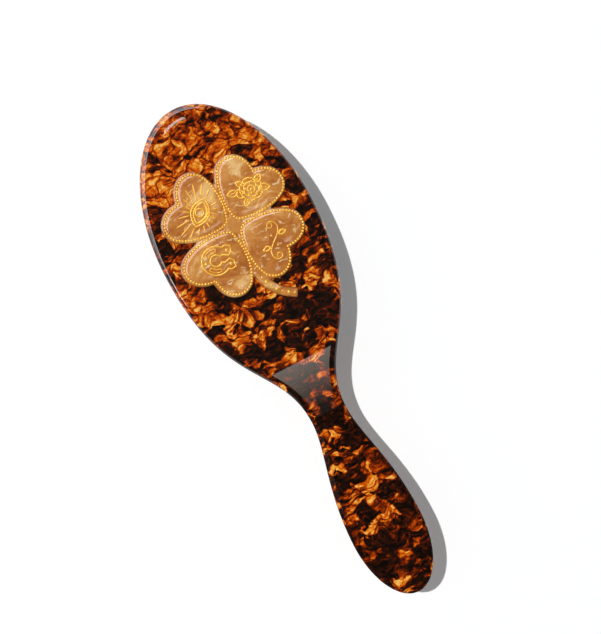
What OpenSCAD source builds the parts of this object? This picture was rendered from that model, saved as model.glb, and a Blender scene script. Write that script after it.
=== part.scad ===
// Oval cushion hairbrush with a four-leaf clover plate on its back.
// X runs from the tip of the head to the end of the handle, Y across the head,
// and Z from the bristle tips up to the clover. The bristle tips are at Z = 0.

/* [Outline] */
// Length from the tip of the head to the end of the handle
length = 231; // [195:1:280]
// Width of the head at its widest
head_w = 71.2; // [59:0.1:86]
// Distance from the tip of the head to its widest place
head_x = 61; // [50:0.5:70]
// Distance from the tip of the head to the waist
waist_x = 146.8; // [138:0.1:152]
// Width at the waist
waist_w = 16.1; // [13:0.1:22]
// Width of the handle at its widest
grip_w = 32; // [26:0.1:38]
// Distance from the widest place of the handle to its end
grip_end = 30; // [24:0.1:36]

/* [Body section] */
// Thickness from the front face to the back face
body_t = 14; // [12:0.1:18]
// Thickness of the front frame
frame_t = 4; // [3.6:0.1:5]
// Rounding of the back face's edge
back_edge_r = 3; // [2:0.1:4]
// Rounding of the front face's edge
front_edge_r = 2.5; // [1.5:0.1:3]
// How far the back face dips at the waist
waist_dip = 2; // [0:0.1:3]
// Chamfer along the seam between frame and back
seam_chamfer = 0.25; // [0.1:0.05:0.4]

/* [Cushion opening] */
// Width of the frame's rim beside the opening, at the widest place
rim_w = 6.2; // [5:0.1:8]
// Distance from the tip of the head to the opening
rim_tip = 8.5; // [7:0.1:12]
// Distance from the opening's end to the waist
rim_tail = 36; // [32:0.5:44]
// How much narrower the opening is towards the waist, as a share of its width
tail_taper = 0.06; // [0:0.01:0.12]
// Depth of the air space behind the cushion
cavity_h = 5; // [4:0.1:7]

/* [Cushion] */
// Height of the cushion's crown beyond the front face
crown_rise = 3; // [2:0.1:4]
// Thickness of the rubber membrane
membrane_t = 1.6; // [1.2:0.1:2]
// Thickness of the cushion's side wall
skirt_t = 1.2; // [0.9:0.1:1.4]
// Gap between the cushion's side wall and the frame
skirt_gap = 0.4; // [0.2:0.1:0.5]
// How far the cushion's flange reaches under the frame
flange_w = 2.3; // [1.5:0.1:2.6]
// Thickness of the cushion's flange
flange_t = 1.4; // [1:0.1:1.8]
// Clearance around the flange
flange_clear = 0.05; // [0.02:0.01:0.1]
// Bore of the vent hole in the membrane
vent_d = 1.8; // [1.2:0.1:2]

/* [Bristles] */
// Length of a bristle outside the cushion
bristle_out = 19; // [15:0.1:23]
// Diameter of a bristle's shank
shank_d = 1.2; // [1:0.05:1.5]
// Diameter of the ball on a bristle's tip
ball_d = 2; // [1.6:0.05:2.2]
// Diameter of the disc that holds a bristle behind the membrane
disc_d = 2.2; // [1.8:0.05:2.4]
// Thickness of that disc
disc_t = 0.8; // [0.5:0.05:1]
// Distance between bristles along a row
bristle_pitch = 7.2; // [6:0.1:9]
// Distance from the opening's edge to the outer rows
row_margin = 3.8; // [3.6:0.05:5]
// Least distance from the opening's edge to any bristle
bristle_margin = 3; // [2.9:0.05:4]
// Gap around a bristle in the membrane
bristle_gap = 0.05; // [0.03:0.01:0.1]

/* [Clover plate] */
// Distance from the tip of the head to the clover's centre
clover_x = 56; // [52:0.5:62]
// Distance from the clover's widest leaf to the side of the head
clover_margin = 7.1; // [6:0.1:9]
// Thickness of the clover plate
clover_t = 1.4; // [1:0.1:2]
// Height of the pillow on each leaf
pillow_t = 0.6; // [0.3:0.1:1]
// Width of the plate's edge outside the beads
clover_edge = 1.25; // [1:0.05:1.5]
// Rounding of the notches between the leaves
leaf_join = 1; // [0.8:0.1:1.5]
// Diameter of the round middle where the four leaves meet
hub_d = 6; // [5:0.5:7]
// Width of the stem
stem_w = 4.3; // [3.5:0.1:5]

/* [Gold trim] */
// Diameter of a bead
bead_d = 0.95; // [0.8:0.05:1.1]
// Distance between beads
bead_pitch = 1.3; // [1.2:0.05:1.6]
// Width of a motif's lines
line_w = 0.5; // [0.4:0.05:0.7]
// Height of a motif's lines
line_t = 0.35; // [0.2:0.05:0.5]

/* [Hidden] */

// Levels, from the bristle tips up
crown_z = bristle_out;
front_z = crown_z + crown_rise;
seam_z = front_z + frame_t;
flange_z = seam_z - flange_clear - flange_t;
back_z = front_z + body_t;
leaf_z = back_z + clover_t;
motif_z = leaf_z + pillow_t;
bite = 0.1;

// The opening: an egg-shaped oval
opening_a = (waist_x - rim_tail - rim_tip) / 2;
opening_b = head_w / 2 - rim_w;
opening_x = rim_tip + opening_a;
rebate_w = flange_w + 0.2;

// The bristle field
row_count = 9;
row_pitch = (opening_b - row_margin) * 2 / (row_count - 1);

// The dip in the back face starts behind the clover and ends in the handle
dip_from = 112;
dip_to = length - grip_end - 10;

// Each leaf: place of its point from the clover's centre, direction, size.
// The clover is drawn clover_span across and scaled to the head; leaf_gap keeps the leaves
// as far apart as they are drawn, so that the beads of two leaves never meet.
clover_span = 28.55;
clover_k = (head_w / 2 - clover_margin) / clover_span;
leaf_gap = 1.2;
leaf_rose = [-1.2, 2.2, 134, 0.965];
leaf_eye = [-1.5, -0.7, 223, 0.975];
leaf_horseshoe = [1.2, -1.3, -43.5, 0.98];
leaf_scroll = [1.4, 2.4, 41, 0.965];
LEAVES = [leaf_rose, leaf_eye, leaf_horseshoe, leaf_scroll];

// ---- Curves ----

function bezier(a, b, c, d, t) =
    a * pow(1 - t, 3) + 3 * b * t * pow(1 - t, 2) + 3 * c * t * t * (1 - t) + d * pow(t, 3);
function bezier_slope(a, b, c, d, t) =
    3 * (b - a) * pow(1 - t, 2) + 6 * (c - b) * t * (1 - t) + 3 * (d - c) * t * t;
function arc(cx, cy, rx, ry, from, to, n) =
    [for (i = [0:n]) let (a = from + (to - from) * i / n) [cx + rx * cos(a), cy + ry * sin(a)]];
function turned(points, angle) =
    [for (p = points) [p.x * cos(angle) - p.y * sin(angle), p.x * sin(angle) + p.y * cos(angle)]];
function moved(points, by) = [for (p = points) p + by];
function mirrored_y(points) = [for (i = [len(points) - 1:-1:0]) [points[i].x, -points[i].y]];
function mirrored_x(points) = [for (i = [len(points) - 1:-1:0]) [-points[i].x, points[i].y]];

// Running length along a list of points, and the point at a given length
function run(points) =
    [for (i = 0, s = 0; i < len(points); i = i + 1,
          s = i < len(points) ? s + norm(points[i] - points[i - 1]) : s) s];
function along(points, lengths, s) =
    [lookup(s, [for (i = [0:len(points) - 1]) [lengths[i], points[i].x]]),
     lookup(s, [for (i = [0:len(points) - 1]) [lengths[i], points[i].y]])];

// ---- Body outline: stations [point, inward normal] from the head's tip to the handle's end ----

head_steps = 16;
shoulder_steps = 14;
handle_steps = 9;
end_steps = 10;
head_half = head_w / 2;
waist_half = waist_w / 2;
grip_half = grip_w / 2;
grip_x = length - grip_end;
shoulder = [[head_x, head_half], [head_x + 0.665 * (waist_x - head_x), head_half],
            [waist_x - 0.345 * (waist_x - head_x), waist_half], [waist_x, waist_half]];
handle = [[waist_x, waist_half], [waist_x + 0.24 * (grip_x - waist_x), waist_half],
          [grip_x - 0.48 * (grip_x - waist_x), grip_half], [grip_x, grip_half]];

function inward(tangent) = [tangent.y, -tangent.x] / norm(tangent);
function curve_stations(c, n) =
    [for (i = [1:n]) let (t = i / n)
        [bezier(c[0], c[1], c[2], c[3], t), inward(bezier_slope(c[0], c[1], c[2], c[3], t))]];
function ellipse_stations(cx, a, b, from, to, first, n) =
    [for (i = [first:n]) let (g = from + (to - from) * i / n)
        [[cx + a * cos(g), b * sin(g)], inward([a * sin(g), -b * cos(g)])]];

stations = concat(
    ellipse_stations(head_x, head_x, head_half, 180, 90, 0, head_steps),
    curve_stations(shoulder, shoulder_steps),
    curve_stations(handle, handle_steps),
    ellipse_stations(grip_x, grip_end, grip_half, 90, 0, 1, end_steps));
last = len(stations) - 1;
ring_n = 2 * last;

// One closed ring of the outline, moved inwards by inset
function ring(inset) = concat(
    [for (i = [0:last]) stations[i][0] + inset * stations[i][1]],
    [for (i = [last - 1:-1:1]) let (p = stations[i][0] + inset * stations[i][1]) [p.x, -p.y]]);

function dip(x) =
    x <= dip_from || x >= dip_to ? 0
    : waist_dip * (1 - cos(360 * (x - dip_from) / (dip_to - dip_from))) / 2;

// A solid through rings; each row is [inset, level, share of the dip]
module loft(rows) {
    n = len(rows);
    points = [for (r = rows) for (p = ring(r[0])) [p.x, p.y, r[1] - r[2] * dip(p.x)]];
    sides = [for (k = [0:n - 2]) for (i = [0:ring_n - 1]) let (j = (i + 1) % ring_n)
        [k * ring_n + i, k * ring_n + j, (k + 1) * ring_n + j, (k + 1) * ring_n + i]];
    cap = concat([[0, 1, ring_n - 1]],
        [for (i = [1:last - 2]) [i, i + 1, ring_n - i - 1, ring_n - i]],
        [[last - 1, last, last + 1]]);
    top = (n - 1) * ring_n;
    low_faces = [for (f = cap) [for (i = [len(f) - 1:-1:0]) f[i]]];
    high_faces = [for (f = cap) [for (v = f) top + v]];
    polyhedron(points = points, faces = concat(sides, low_faces, high_faces), convexity = 6);
}

// ---- Cushion opening ----

opening_steps = 96;
function oval_half(cosine, a, b) = b * sqrt(max(0, 1 - cosine * cosine)) * (1 - tail_taper * cosine);
opening_points = [for (i = [0:opening_steps - 1]) let (g = 360 * i / opening_steps)
    [opening_x + opening_a * cos(g), opening_b * sin(g) * (1 - tail_taper * cos(g))]];

module opening(grow = 0) {
    offset(delta = grow) polygon(opening_points);
}

module opening_prism(grow, from, to) {
    translate([0, 0, from]) linear_extrude(to - from) opening(grow);
}

// ---- Bristle field ----

function row_y(row) = (row - (row_count + 1) / 2) * row_pitch;
function in_field(x, y) =
    let (c = (x - opening_x) / (opening_a - bristle_margin))
    abs(c) < 1 && abs(y) <= oval_half(c, opening_a, opening_b - bristle_margin);
// Every other row is moved by half a pitch
function row_places(row) =
    let (y = row_y(row), shift = row % 2 == 0 ? 0.5 : 0, reach = ceil(opening_a / bristle_pitch))
    [for (i = [-reach:reach]) let (x = opening_x + (i + shift) * bristle_pitch)
        if (in_field(x, y)) [x, y]];

module bristle() {
    translate([0, 0, ball_d / 2]) sphere(d = ball_d, $fn = 24);
    translate([0, 0, ball_d / 2])
        cylinder(d = shank_d, h = crown_z + membrane_t + disc_t / 2 - ball_d / 2, $fn = 24);
    translate([0, 0, crown_z + membrane_t]) cylinder(d = disc_d, h = disc_t, $fn = 24);
}

module bristle_row(row) {
    color([0.10, 0.08, 0.07])
        in_frame() for (p = row_places(row)) translate([p.x, p.y, 0]) bristle();
}

// ---- Clover ----

// Half of a heart-shaped leaf, its point near the origin and its lobes towards +X
leaf_half = concat(
    [for (i = [0:11]) bezier([1.3, 0], [1.3, 2.5], [9.5, 13.5], [19.5, 15.1], i / 12)],
    [for (i = [0:10]) bezier([19.5, 15.1], [26.5, 15], [30, 7], [23.3, 0], i / 10)]);
leaf_outline = concat(leaf_half, [for (i = [len(leaf_half) - 2:-1:1]) [leaf_half[i].x, -leaf_half[i].y]]);

function leaf_points(leaf) =
    moved(clover_k * moved(turned(leaf[3] * leaf_outline, leaf[2]), [leaf[0], leaf[1]]),
          (1 - clover_k) * leaf_gap * [cos(leaf[2]), sin(leaf[2])]);

module leaf_shape(leaf, grow) {
    offset(r = grow, $fn = 24) polygon(leaf_points(leaf));
}

stem_from = [22, 0.6];
stem_line = [for (i = [0:8])
    clover_k * bezier(stem_from, [30, 1.5], [34, 4.5], [38.2, 12.6], i / 8)];

// A band of the given width along a list of points, with square ends
function band(points, w) =
    let (n = len(points) - 1,
         sides = [for (i = [0:n]) let (d = points[min(n, i + 1)] - points[max(0, i - 1)])
             [-d.y, d.x] / norm(d) * w / 2])
    concat([for (i = [0:n]) points[i] + sides[i]], [for (i = [n:-1:0]) points[i] - sides[i]]);

// The leaves join where they come close, and the notches between them are rounded
module clover_outline() {
    offset(r = -leaf_join, $fn = 24) offset(r = leaf_join, $fn = 24) {
        for (leaf = LEAVES) leaf_shape(leaf, clover_edge);
        circle(d = clover_k * hub_d, $fn = 48);
        polygon(band(stem_line, stem_w));
    }
}

// Beads along a closed line
function bead_places(points) =
    let (loop = concat(points, [points[0]]), lengths = run(loop), total = lengths[len(loop) - 1],
         count = floor(total / bead_pitch))
    [for (i = [0:count - 1]) along(loop, lengths, total * i / count)];

module domes(places, d) {
    difference() {
        for (p = places) translate([p.x, p.y, 0]) sphere(d = d, $fn = 16);
        translate([-60, -60, -2]) cube([120, 120, 2]);
    }
}

module leaf_beads(leaf) {
    color([0.85, 0.62, 0.2]) on_clover(leaf_z) domes(bead_places(leaf_points(leaf)), bead_d);
}

// ---- Motifs: flat gold lines, drawn in the clover's plane ----

// The lines are drawn thin and then grown by line_round, which rounds every corner.
// Each motif is drawn at full size and scaled with the clover, lines and all.
line_round = 0.12;

module stroke(points, w = line_w) {
    polygon(band(points, w - 2 * line_round));
}

module outline(points, w = line_w) {
    difference() {
        offset(delta = w / 2 - line_round) polygon(points);
        offset(delta = line_round - w / 2) polygon(points);
    }
}

module dot(at, d) {
    translate(at) circle(d = d - 2 * line_round, $fn = 16);
}

module motif() {
    color([0.82, 0.58, 0.18]) on_clover(motif_z)
        linear_extrude(line_t) scale(clover_k) offset(r = line_round, $fn = 16) children();
}

// A pointed leaf along +X from the origin
function lens(l, h, steps) = concat(
    [for (i = [0:steps]) [l * i / steps, h * sin(180 * pow(i / steps, 0.8))]],
    [for (i = [steps - 1:-1:1]) [l * i / steps, -h * sin(180 * pow(i / steps, 0.8))]]);

// ---- Placing ----

module in_frame() {
    translate([-length / 2, 0, 0]) children();
}

module on_clover(level) {
    in_frame() translate([clover_x, 0, level]) children();
}

// ---- Sub-parts ----

module back_shell() {
    arc_steps = 5;
    edge_rows = [for (i = [0:arc_steps]) let (a = 90 * i / arc_steps)
        [back_edge_r * (1 - cos(a)), back_z - back_edge_r * (1 - sin(a)), 1]];
    color([0.28, 0.13, 0.06]) in_frame() difference() {
        loft(concat([[seam_chamfer, seam_z, 0], [0, seam_z + seam_chamfer, 0]], edge_rows));
        opening_prism(0, seam_z - bite, seam_z + cavity_h);
    }
}

module front_frame() {
    arc_steps = 5;
    edge_rows = [for (i = [arc_steps:-1:0]) let (a = 90 * i / arc_steps)
        [front_edge_r * (1 - cos(a)), front_z + front_edge_r * (1 - sin(a)), 0]];
    under = [[front_edge_r + bite, front_z - bite, 0]];
    color([0.22, 0.10, 0.05]) in_frame() difference() {
        loft(concat(under, edge_rows, [[0, seam_z - seam_chamfer, 0], [seam_chamfer, seam_z, 0]]));
        opening_prism(0, front_z - 1, seam_z + bite);
        opening_prism(rebate_w, flange_z - flange_clear, seam_z + bite);
        translate([-bite, -head_w, front_z - 1]) cube([length + 1, 2 * head_w, 1]);
    }
}

module cushion() {
    skirt = -skirt_gap - skirt_t;
    color([0.08, 0.07, 0.07]) in_frame() difference() {
        union() {
            opening_prism(-skirt_gap, crown_z, seam_z - flange_clear);
            opening_prism(flange_w, flange_z, seam_z - flange_clear);
        }
        opening_prism(skirt, crown_z + membrane_t, seam_z + bite);
        for (row = [1:row_count]) for (p = row_places(row))
            translate([p.x, p.y, crown_z - bite])
                cylinder(d = shank_d + 2 * bristle_gap, h = membrane_t + 2 * bite, $fn = 24);
        translate([opening_x + bristle_pitch / 2, 0, crown_z - bite])
            cylinder(d = vent_d, h = membrane_t + 2 * bite, $fn = 24);
    }
}

module clover_plate() {
    step = 0.75;
    color([0.80, 0.60, 0.36]) on_clover(back_z) {
        linear_extrude(clover_t) clover_outline();
        for (leaf = LEAVES) for (layer = [1, 2]) translate([0, 0, clover_t / 2])
            linear_extrude(clover_t / 2 + pillow_t * layer / 2) leaf_shape(leaf, -step * layer);
    }
}

module rose_leaf_beads() { leaf_beads(leaf_rose); }
module eye_leaf_beads() { leaf_beads(leaf_eye); }
module horseshoe_leaf_beads() { leaf_beads(leaf_horseshoe); }
module scroll_leaf_beads() { leaf_beads(leaf_scroll); }

module stem_studs() {
    lengths = run(stem_line);
    total = lengths[len(stem_line) - 1];
    first = 3.4;
    end_gap = 1.9;
    count = 7;
    color([0.85, 0.62, 0.2]) on_clover(leaf_z) for (size = [0, 1])
        domes([for (i = [0:count - 1]) if (i % 2 == size)
            along(stem_line, lengths, first + (total - first - end_gap) * i / (count - 1))],
            bead_d * (1 + 0.5 * size));
}

// Rose: rings of petals around a heart, with pointed sepals and a hip below
module rose_motif() {
    bloom = [-10.4, 14.2];
    hip = bloom + [-0.2, -5.2];
    petals = 5;
    // Each sepal: direction, distance from the bloom's centre, length, half width
    sepals = [[72, 3.6, 4.6, 1.5], [122, 3.6, 3.8, 1.3], [258, 6, 4.6, 1.4], [316, 4.6, 3.2, 1.1],
              [222, 4.2, 3, 1.1]];
    motif() {
        translate(bloom) {
            for (layer = [1:3]) for (i = [0:petals - 1])
                rotate(360 / petals * (i + layer / 2)) translate([0.9 * layer, 0])
                    stroke(arc(0, 0, 0.75 * layer, 0.95 * layer, -105, 68, 10));
            dot([0, 0], 1.1);
            for (sepal = sepals) rotate(sepal[0]) translate([sepal[1], 0]) {
                outline(lens(sepal[2], sepal[3], 8));
                stroke([[0.4, 0], [sepal[2] * 0.7, 0]]);
            }
        }
        outline(arc(hip.x, hip.y, 1.9, 1.4, 0, 345, 23));
    }
}

// Eye: an almond with an iris, a dotted lower lid and rays all around
module eye_motif() {
    centre = [-11.2, -9.8];
    tilt = -44;
    half_l = 6.4;
    half_h = 3.9;
    rays = 20;
    ray_w = 0.6;
    motif() translate(centre) {
        rotate(tilt) {
            outline(almond(half_l, half_h, 14));
            outline(almond(half_l * 0.76, half_h * 0.68, 12));
            stroke([for (i = [1:11]) let (x = -1 + i / 6)
                [half_l * 0.78 * x, half_h * 0.8 * (1 - x * x)]], 2 * line_w);
            for (i = [-4:4]) let (x = i / 5.4)
                dot([half_l * 0.88 * x, -half_h * 0.84 * (1 - x * x)], line_w);
            outline(arc(0, -0.25, 1.75, 1.75, 0, 345, 23));
        }
        for (i = [0:rays - 1]) {
            a = 360 * (i + 0.35) / rays;
            from = 1 / norm([cos(a - tilt) / (half_l + 0.6), sin(a - tilt) / (half_h + 0.5)]);
            reach = 2.5 + 4.3 * pow(max(0, cos(a - 172)), 4) + 4.4 * pow(max(0, cos(a - 285)), 6);
            rotate(a) stroke([[from, 0], [from + reach, 0]], ray_w);
        }
    }
}

// An eye's outline: two arcs that meet in points
function almond(l, h, steps) = concat(
    [for (i = [0:steps]) let (x = 1 - 2 * i / steps) [l * x, h * (1 - x * x)]],
    [for (i = [1:steps - 1]) let (x = -1 + 2 * i / steps) [l * x, -h * (1 - x * x)]]);

// Horseshoe: an open band with two slots, flared heels and three studs
module horseshoe_motif() {
    heel = [[-4.7, 4.1], [-5.3, 5.1], [-4.7, 7.4], [-1.9, 7.3], [-0.7, 5.6], [-1.8, 3.2]];
    outer = arc(0, 0, 6.2, 6.2, 140, 400, 26);
    inner = arc(0, 0, 2.5, 2.5, 420, 120, 20);
    motif() translate([10.2, -13]) rotate(-9) {
        outline(concat(outer, mirrored_x(heel_back(heel)), inner, heel_back(heel)));
        for (side = [0, 1]) mirror([side, 0]) {
            outline(concat(arc(0, 0, 5.1, 5.1, 168, 232, 8), arc(0, 0, 3.7, 3.7, 232, 168, 8)));
            dot([-3, 5.7], 1.5);
        }
        dot([0, -4.6], 1.4);
    }
}

// The heel's points from the inside of the band to its outside
function heel_back(heel) = [for (i = [len(heel) - 1:-1:0]) heel[i]];

// Scroll: an S whose ends curl up, with two small leaves and two dots
module scroll_motif() {
    steps = 28;
    curl = 1.06;
    tight_from = 17;
    tight = 1.35;
    stride = 0.62;
    half = [for (i = 0, a = 0, p = [0, 0]; i <= steps; i = i + 1,
                 a = a + curl * i * (i > tight_from ? tight : 1), p = p + stride * [cos(a), sin(a)]) p];
    whole = concat([for (i = [steps:-1:1]) -half[i]], half);
    motif() translate([13.6, 13.2]) rotate(-50) {
        stroke(whole, line_w * 1.1);
        for (turn = [0, 180]) rotate(turn) {
            translate([3.4, -0.5]) rotate(-38) outline(lens(3.4, 0.9, 8));
            dot([1.2, 2.1], 0.9);
        }
    }
}

module bristle_row_1() { bristle_row(1); }
module bristle_row_2() { bristle_row(2); }
module bristle_row_3() { bristle_row(3); }
module bristle_row_4() { bristle_row(4); }
module bristle_row_5() { bristle_row(5); }
module bristle_row_6() { bristle_row(6); }
module bristle_row_7() { bristle_row(7); }
module bristle_row_8() { bristle_row(8); }
module bristle_row_9() { bristle_row(9); }

back_shell();
front_frame();
cushion();
clover_plate();
rose_leaf_beads();
eye_leaf_beads();
horseshoe_leaf_beads();
scroll_leaf_beads();
stem_studs();
rose_motif();
eye_motif();
horseshoe_motif();
scroll_motif();
bristle_row_1();
bristle_row_2();
bristle_row_3();
bristle_row_4();
bristle_row_5();
bristle_row_6();
bristle_row_7();
bristle_row_8();
bristle_row_9();
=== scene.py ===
"""Looks of the oval cushion hairbrush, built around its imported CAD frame.

Shapes are worked out in millimetres, with x measured from the tip of the head, and become
metres in the row frame when a mesh is made.
"""
import math

import bmesh
import bpy
import numpy as np
from mathutils import Matrix, Vector
from mathutils.geometry import delaunay_2d_cdt


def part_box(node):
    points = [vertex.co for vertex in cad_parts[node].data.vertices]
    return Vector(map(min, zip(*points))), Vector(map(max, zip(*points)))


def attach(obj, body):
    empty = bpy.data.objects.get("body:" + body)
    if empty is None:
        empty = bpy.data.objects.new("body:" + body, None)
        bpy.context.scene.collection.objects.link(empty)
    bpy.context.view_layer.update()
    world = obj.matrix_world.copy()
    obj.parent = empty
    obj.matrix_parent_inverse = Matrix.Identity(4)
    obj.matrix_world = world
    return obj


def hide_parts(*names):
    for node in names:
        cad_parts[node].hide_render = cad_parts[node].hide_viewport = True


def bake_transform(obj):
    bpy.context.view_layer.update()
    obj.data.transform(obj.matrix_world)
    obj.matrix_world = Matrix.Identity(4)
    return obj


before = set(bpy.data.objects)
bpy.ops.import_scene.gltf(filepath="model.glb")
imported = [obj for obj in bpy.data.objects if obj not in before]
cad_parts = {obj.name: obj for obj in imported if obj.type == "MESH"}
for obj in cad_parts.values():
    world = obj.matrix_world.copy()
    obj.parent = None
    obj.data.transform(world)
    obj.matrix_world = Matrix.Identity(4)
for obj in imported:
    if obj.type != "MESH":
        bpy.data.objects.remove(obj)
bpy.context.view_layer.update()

MM = 0.001


# ---- Sizes ----

def span(node):
    """Lowest and highest corner of a CAD node, in millimetres."""
    low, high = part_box(node)
    return np.array(low) / MM, np.array(high) / MM


back_low, back_high = span("back_shell")
LENGTH = back_high[0] - back_low[0]
HEAD_W = back_high[1] - back_low[1]
SEAM_Z = back_low[2]
BACK_Z = back_high[2]
FRONT_Z = span("front_frame")[0][2]
CROWN_Z, CUSHION_TOP = (corner[2] for corner in span("cushion"))
MOTIF_Z = span("clover_plate")[1][2]
TIP_X = back_low[0]

# Outline: where the head is widest and the neck narrowest, and their widths
HEAD_X, WAIST_X = 61, 146.8
WAIST_W, GRIP_W, GRIP_END = 16.1, 32, 30
GRIP_X = LENGTH - GRIP_END
BACK_EDGE_R, FRONT_EDGE_R, SEAM_CHAMFER, WAIST_DIP = 3, 2.5, 0.25, 2
DIP_FROM, DIP_TO = 112, GRIP_X - 10
# A shallow shoulder inside the rounded edge of the head, fading out towards the neck
SHOULDER_W, SHOULDER_T, SHOULDER_FADE = 6, 0.18, 50
SHOULDER_END = HEAD_X + 55

# Opening
RIM_W, RIM_TIP, RIM_TAIL, TAIL_TAPER, CAVITY_H = 6.2, 8.5, 36, 0.06, 5
OPENING_A = (WAIST_X - RIM_TAIL - RIM_TIP) / 2
OPENING_B = HEAD_W / 2 - RIM_W
OPENING_X = RIM_TIP + OPENING_A
OPENING_EDGE_R = 0.6
LEDGE_GAP, REBATE_GAP = 0.05, 0.2

# Cushion
MEMBRANE_T, SKIRT_GAP, FLANGE_W, FLANGE_T, VENT_D = 1.6, 0.4, 2.3, 1.4, 1.8
CROWN_FALL, CROWN_FALL_W = 0.9, 14
FLANGE_Z = CUSHION_TOP - FLANGE_T

# Bristles
ROWS, PITCH, SHANK_D, BALL_D, DISC_D, DISC_T = 9, 7.2, 1.2, 2, 2.2, 0.8
ROW_MARGIN, BRISTLE_MARGIN = 3.8, 3
ROW_PITCH = (OPENING_B - ROW_MARGIN) * 2 / (ROWS - 1)

# Clover: drawn in units of its own, in which it reaches CLOVER_REACH to either side
CLOVER_X, CLOVER_MARGIN, PILLOW_T, CLOVER_EDGE, STEM_W = 56, 7.1, 0.6, 1.25, 4.3
LEAF_Z = MOTIF_Z - PILLOW_T
CLOVER_REACH = 28.55
CLOVER_K = (HEAD_W / 2 - CLOVER_MARGIN) / CLOVER_REACH
# Each leaf's place, its angle and its share of the full leaf size
LEAVES = {"rose": (-1.2, 2.2, 134, 0.965), "eye": (-1.5, -0.7, 223, 0.975),
          "horseshoe": (1.2, -1.3, -43.5, 0.98), "scroll": (1.4, 2.4, 41, 0.965)}
LEAF_GAP, HUB_D, PLATE_EDGE_R, PLATE_FILLET = 1.2, 8.6, 1.2, 1.3
GROOVE_T, GROOVE_W = 0.08, 0.4
MARGIN_SHIFT = (-0.25, -0.5)

# Gold trim: beads and lines look fuller than their CAD sizes
BEAD_D, BEAD_PITCH, LINE_W, LINE_T = 0.95, 1.3, 0.5, 0.35
SEEN_BEAD_D = BEAD_D * 1.15
SEEN_LINE_W = LINE_W * 1.45


# ---- Curves ----

def bezier(a, b, c, d, steps, first=0):
    """Points of a Bezier curve, from step first to the last."""
    t = np.linspace(0, 1, steps + 1)[first:, None]
    a, b, c, d = (np.array(p, float) for p in (a, b, c, d))
    return a * (1 - t) ** 3 + 3 * b * t * (1 - t) ** 2 + 3 * c * t * t * (1 - t) + d * t ** 3


def arc(cx, cy, rx, ry, start, end, steps):
    """Points of an elliptic arc; angles in degrees."""
    a = np.radians(np.linspace(start, end, steps + 1))
    return np.stack([cx + rx * np.cos(a), cy + ry * np.sin(a)], 1)


def circle(centre, radius, steps):
    return arc(*centre, radius, radius, 0, 360, steps)[:-1]


def turned(points, angle, by=(0, 0)):
    """Points turned about the origin and then moved."""
    c, s = math.cos(math.radians(angle)), math.sin(math.radians(angle))
    return np.asarray(points, float) @ np.array([[c, s], [-s, c]]) + by


def inward_normals(loop):
    """Unit normals of a closed anticlockwise loop, pointing inwards."""
    tangent = np.roll(loop, -1, 0) - np.roll(loop, 1, 0)
    normal = np.stack([-tangent[:, 1], tangent[:, 0]], 1)
    return normal / np.linalg.norm(normal, axis=1, keepdims=True)


def lengths(points):
    return np.concatenate([[0], np.cumsum(np.linalg.norm(np.diff(points, axis=0), axis=1))])


def along(points, places):
    """Points at the given running lengths along a line."""
    s = lengths(points)
    return np.stack([np.interp(places, s, points[:, k]) for k in (0, 1)], 1)


def inside(points, loop):
    """Which points lie inside a closed loop."""
    a, b = loop, np.roll(loop, -1, 0)
    x, y = points[:, 0, None], points[:, 1, None]
    crosses = (a[:, 1] > y) != (b[:, 1] > y)
    rise = np.where(b[:, 1] == a[:, 1], 1e-12, b[:, 1] - a[:, 1])
    return (crosses & (x < (b[:, 0] - a[:, 0]) * (y - a[:, 1]) / rise + a[:, 0])).sum(1) % 2 == 1


def distance(points, loop):
    """Distance to a closed loop, negative inside it."""
    a = loop
    d = np.roll(loop, -1, 0) - a
    best = np.full(len(points), 1e9)
    for p, v in zip(a, d):
        t = np.clip(((points - p) @ v) / (v @ v), 0, 1)
        best = np.minimum(best, np.linalg.norm(points - p - t[:, None] * v, axis=1))
    return np.where(inside(points, loop), -best, best)


# ---- Meshes ----

def finish_piece(bm, name, body, material, replaces=(), sharp=40):
    """Turns a bmesh in millimetres into a shaded piece that rides on a body."""
    bmesh.ops.remove_doubles(bm, verts=bm.verts, dist=1e-4)
    bmesh.ops.recalc_face_normals(bm, faces=bm.faces)
    mesh = bpy.data.meshes.new(name)
    bm.to_mesh(mesh)
    bm.free()
    mesh.transform(Matrix.Diagonal((MM, MM, MM, 1)) @ Matrix.Translation((TIP_X, 0, 0)))
    mesh.shade_smooth()
    mesh.set_sharp_from_angle(angle=math.radians(sharp))
    mesh.materials.append(material)
    piece = bpy.data.objects.new(name, mesh)
    bpy.context.scene.collection.objects.link(piece)
    weighted = piece.modifiers.new("weighted_normals", "WEIGHTED_NORMAL")
    weighted.keep_sharp = True
    if replaces:
        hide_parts(*replaces)
    if body:
        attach(piece, body)
    return piece


def new_ring(bm, points):
    return [bm.verts.new(p) for p in points]


def join_rings(bm, rings):
    """Joins rings of vertices with quads."""
    n = len(rings[0])
    for low, high in zip(rings, rings[1:]):
        for i in range(n):
            j = (i + 1) % n
            bm.faces.new((low[i], low[j], high[j], high[i]))


def add_rings(bm, rings):
    """Adds rings of points, each an (n, 3) array, and joins them. Returns the vertices."""
    verts = [new_ring(bm, ring) for ring in rings]
    join_rings(bm, verts)
    return verts


def level(points, z):
    """Flat points lifted to height z, which is a number or an array."""
    return np.column_stack([points, np.broadcast_to(z, len(points))])


def fill(loops, extra=()):
    """Triangles between loops by the even-odd rule: all points, and triples of them."""
    points = np.concatenate([*loops, *extra])
    edges, start = [], 0
    for loop in loops:
        n = len(loop)
        edges += [(start + i, start + (i + 1) % n) for i in range(n)]
        start += n
    result = delaunay_2d_cdt([Vector(p) for p in points], edges, [], 0, 1e-6)
    first = [group[0] for group in result[3]]
    triangles = np.array([[first[v] for v in face] for face in result[2]])
    centres = points[triangles].mean(1)
    keep = np.zeros(len(triangles), bool)
    for loop in loops:
        keep ^= inside(centres, loop)
    return points, triangles[keep]


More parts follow.
